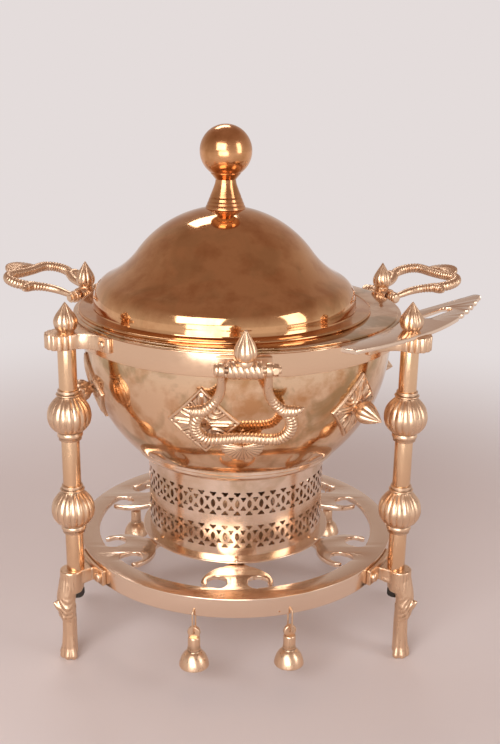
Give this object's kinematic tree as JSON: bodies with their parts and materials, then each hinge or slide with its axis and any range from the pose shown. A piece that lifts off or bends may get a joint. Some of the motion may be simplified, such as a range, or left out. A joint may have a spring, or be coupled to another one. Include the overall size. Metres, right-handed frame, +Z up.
{
  "type": "chafing dish",
  "caption": "Round brass chafing dish with a lift-off domed lid, food pan and water bowl on a three-legged stand with a pierced burner, bail handles and hanging bells.",
  "frame": {"origin": "on the floor under the stand's axis", "axes": "+Z up, front of the dish toward -Y, +X to the viewer's right"},
  "size_m": [0.4727, 0.3734, 0.4815],
  "materials": {
    "polished_brass": "polished, spun and turned brass",
    "cast_brass": "satin cast brass, brushed",
    "dark_steel": "dull dark steel"
  },
  "bodies": {
    "stand": {"bowl": "polished_brass", "bowl_foot_ring": "polished_brass", "medallion_plates": "cast_brass", "medallion_buds": "cast_brass", "top_ring": "polished_brass", "lower_ring": "polished_brass", "burner_base": "polished_brass", "base_screws": "cast_brass", "burner_housing": "polished_brass", "fuel_cup": "cast_brass", "leg_1_bracket": "cast_brass", "leg_2_bracket": "cast_brass", "leg_3_bracket": "cast_brass", "leg_1_tubes": "cast_brass", "leg_2_tubes": "cast_brass", "leg_3_tubes": "cast_brass", "leg_1_melons": "cast_brass", "leg_2_melons": "cast_brass", "leg_3_melons": "cast_brass", "leg_1_foot": "cast_brass", "leg_2_foot": "cast_brass", "leg_3_foot": "cast_brass", "leg_rods": "dark_steel", "leg_finials": "cast_brass", "bracket_rivets": "cast_brass", "foot_bolts": "cast_brass", "foot_nuts": "dark_steel", "handle_1_bracket": "cast_brass", "handle_2_bracket": "cast_brass", "handle_3_bracket": "cast_brass", "handle_bolts": "cast_brass", "handle_finials": "cast_brass", "ladle_rest": "cast_brass"},
    "pan": {"food_pan": "polished_brass"},
    "lid": {"lid_dome": "polished_brass", "lid_knob": "polished_brass", "lid_knob_nut": "dark_steel"},
    "bail_1": {"handle_1_bail": "cast_brass"},
    "bail_2": {"handle_2_bail": "cast_brass"},
    "bail_3": {"handle_3_bail": "cast_brass"},
    "bell_1_link": {"bell_1_link": "cast_brass"},
    "bell_1": {"bell_1_body": "polished_brass"},
    "bell_1_clapper": {"bell_1_clapper": "cast_brass"},
    "bell_2_link": {"bell_2_link": "cast_brass"},
    "bell_2": {"bell_2_body": "polished_brass"},
    "bell_2_clapper": {"bell_2_clapper": "cast_brass"},
    "bell_3_link": {"bell_3_link": "cast_brass"},
    "bell_3": {"bell_3_body": "polished_brass"},
    "bell_3_clapper": {"bell_3_clapper": "cast_brass"},
    "bell_4_link": {"bell_4_link": "cast_brass"},
    "bell_4": {"bell_4_body": "polished_brass"},
    "bell_4_clapper": {"bell_4_clapper": "cast_brass"},
    "bell_5_link": {"bell_5_link": "cast_brass"},
    "bell_5": {"bell_5_body": "polished_brass"},
    "bell_5_clapper": {"bell_5_clapper": "cast_brass"},
    "bell_6_link": {"bell_6_link": "cast_brass"},
    "bell_6": {"bell_6_body": "polished_brass"},
    "bell_6_clapper": {"bell_6_clapper": "cast_brass"}
  },
  "joints": [
    {"name": "pan_lift", "type": "slide", "parent": "stand", "child": "pan", "axis": [0, 0, 1], "range_m": [0, 0.12]},
    {"name": "lid_lift", "type": "slide", "parent": "pan", "child": "lid", "axis": [0, 0, 1], "range_m": [0, 0.15]},
    {"name": "bail_1_hinge", "type": "hinge", "parent": "stand", "child": "bail_1", "pos_m": [0.00303, -0.17347, 0.308], "axis": [-0.9998, -0.0175, 0], "range_deg": [0, 150]},
    {"name": "bail_2_hinge", "type": "hinge", "parent": "stand", "child": "bail_2", "pos_m": [0.14872, 0.08936, 0.308], "axis": [0.515, -0.8572, 0], "range_deg": [-101, 40]},
    {"name": "bail_3_hinge", "type": "hinge", "parent": "stand", "child": "bail_3", "pos_m": [-0.15175, 0.08411, 0.308], "axis": [0.4848, 0.8746, 0], "range_deg": [-101, 40]},
    {"name": "bell_1_link_swing", "type": "hinge", "parent": "stand", "child": "bell_1_link", "pos_m": [-0.03768, -0.14674, 0.083], "axis": [-0.2487, -0.9686, 0], "range_deg": [-25, 25]},
    {"name": "bell_1_swing", "type": "hinge", "parent": "bell_1_link", "child": "bell_1", "pos_m": [-0.03768, -0.14674, 0.061], "axis": [-0.2487, -0.9686, 0], "range_deg": [-25, 25]},
    {"name": "bell_1_clapper_swing", "type": "hinge", "parent": "bell_1", "child": "bell_1_clapper", "pos_m": [-0.03768, -0.14674, 0.0405], "axis": [-0.2487, -0.9686, 0], "range_deg": [-25, 25]},
    {"name": "bell_2_link_swing", "type": "hinge", "parent": "stand", "child": "bell_2_link", "pos_m": [0.04581, -0.14441, 0.083], "axis": [0.3024, -0.9532, 0], "range_deg": [-25, 25]},
    {"name": "bell_2_swing", "type": "hinge", "parent": "bell_2_link", "child": "bell_2", "pos_m": [0.04581, -0.14441, 0.061], "axis": [0.3024, -0.9532, 0], "range_deg": [-25, 25]},
    {"name": "bell_2_clapper_swing", "type": "hinge", "parent": "bell_2", "child": "bell_2_clapper", "pos_m": [0.04581, -0.14441, 0.0405], "axis": [0.3024, -0.9532, 0], "range_deg": [-25, 25]},
    {"name": "bell_3_link_swing", "type": "hinge", "parent": "stand", "child": "bell_3_link", "pos_m": [0.147, 0.03665, 0.083], "axis": [0.9703, 0.2419, 0], "range_deg": [-25, 25]},
    {"name": "bell_3_swing", "type": "hinge", "parent": "bell_3_link", "child": "bell_3", "pos_m": [0.147, 0.03665, 0.061], "axis": [0.9703, 0.2419, 0], "range_deg": [-25, 25]},
    {"name": "bell_3_clapper_swing", "type": "hinge", "parent": "bell_3", "child": "bell_3_clapper", "pos_m": [0.147, 0.03665, 0.0405], "axis": [0.9703, 0.2419, 0], "range_deg": [-25, 25]},
    {"name": "bell_4_link_swing", "type": "hinge", "parent": "stand", "child": "bell_4_link", "pos_m": [0.10524, 0.10898, 0.083], "axis": [0.6947, 0.7193, 0], "range_deg": [-25, 25]},
    {"name": "bell_4_swing", "type": "hinge", "parent": "bell_4_link", "child": "bell_4", "pos_m": [0.10524, 0.10898, 0.061], "axis": [0.6947, 0.7193, 0], "range_deg": [-25, 25]},
    {"name": "bell_4_clapper_swing", "type": "hinge", "parent": "bell_4", "child": "bell_4_clapper", "pos_m": [0.10524, 0.10898, 0.0405], "axis": [0.6947, 0.7193, 0], "range_deg": [-25, 25]},
    {"name": "bell_5_link_swing", "type": "hinge", "parent": "stand", "child": "bell_5_link", "pos_m": [-0.10824, 0.106, 0.083], "axis": [-0.7145, 0.6997, 0], "range_deg": [-25, 25]},
    {"name": "bell_5_swing", "type": "hinge", "parent": "bell_5_link", "child": "bell_5", "pos_m": [-0.10824, 0.106, 0.061], "axis": [-0.7145, 0.6997, 0], "range_deg": [-25, 25]},
    {"name": "bell_5_clapper_swing", "type": "hinge", "parent": "bell_5", "child": "bell_5_clapper", "pos_m": [-0.10824, 0.106, 0.0405], "axis": [-0.7145, 0.6997, 0], "range_deg": [-25, 25]},
    {"name": "bell_6_link_swing", "type": "hinge", "parent": "stand", "child": "bell_6_link", "pos_m": [-0.14797, 0.03253, 0.083], "axis": [-0.9767, 0.2147, 0], "range_deg": [-25, 25]},
    {"name": "bell_6_swing", "type": "hinge", "parent": "bell_6_link", "child": "bell_6", "pos_m": [-0.14797, 0.03253, 0.061], "axis": [-0.9767, 0.2147, 0], "range_deg": [-25, 25]},
    {"name": "bell_6_clapper_swing", "type": "hinge", "parent": "bell_6", "child": "bell_6_clapper", "pos_m": [-0.14797, 0.03253, 0.0405], "axis": [-0.9767, 0.2147, 0], "range_deg": [-25, 25]}
  ]
}
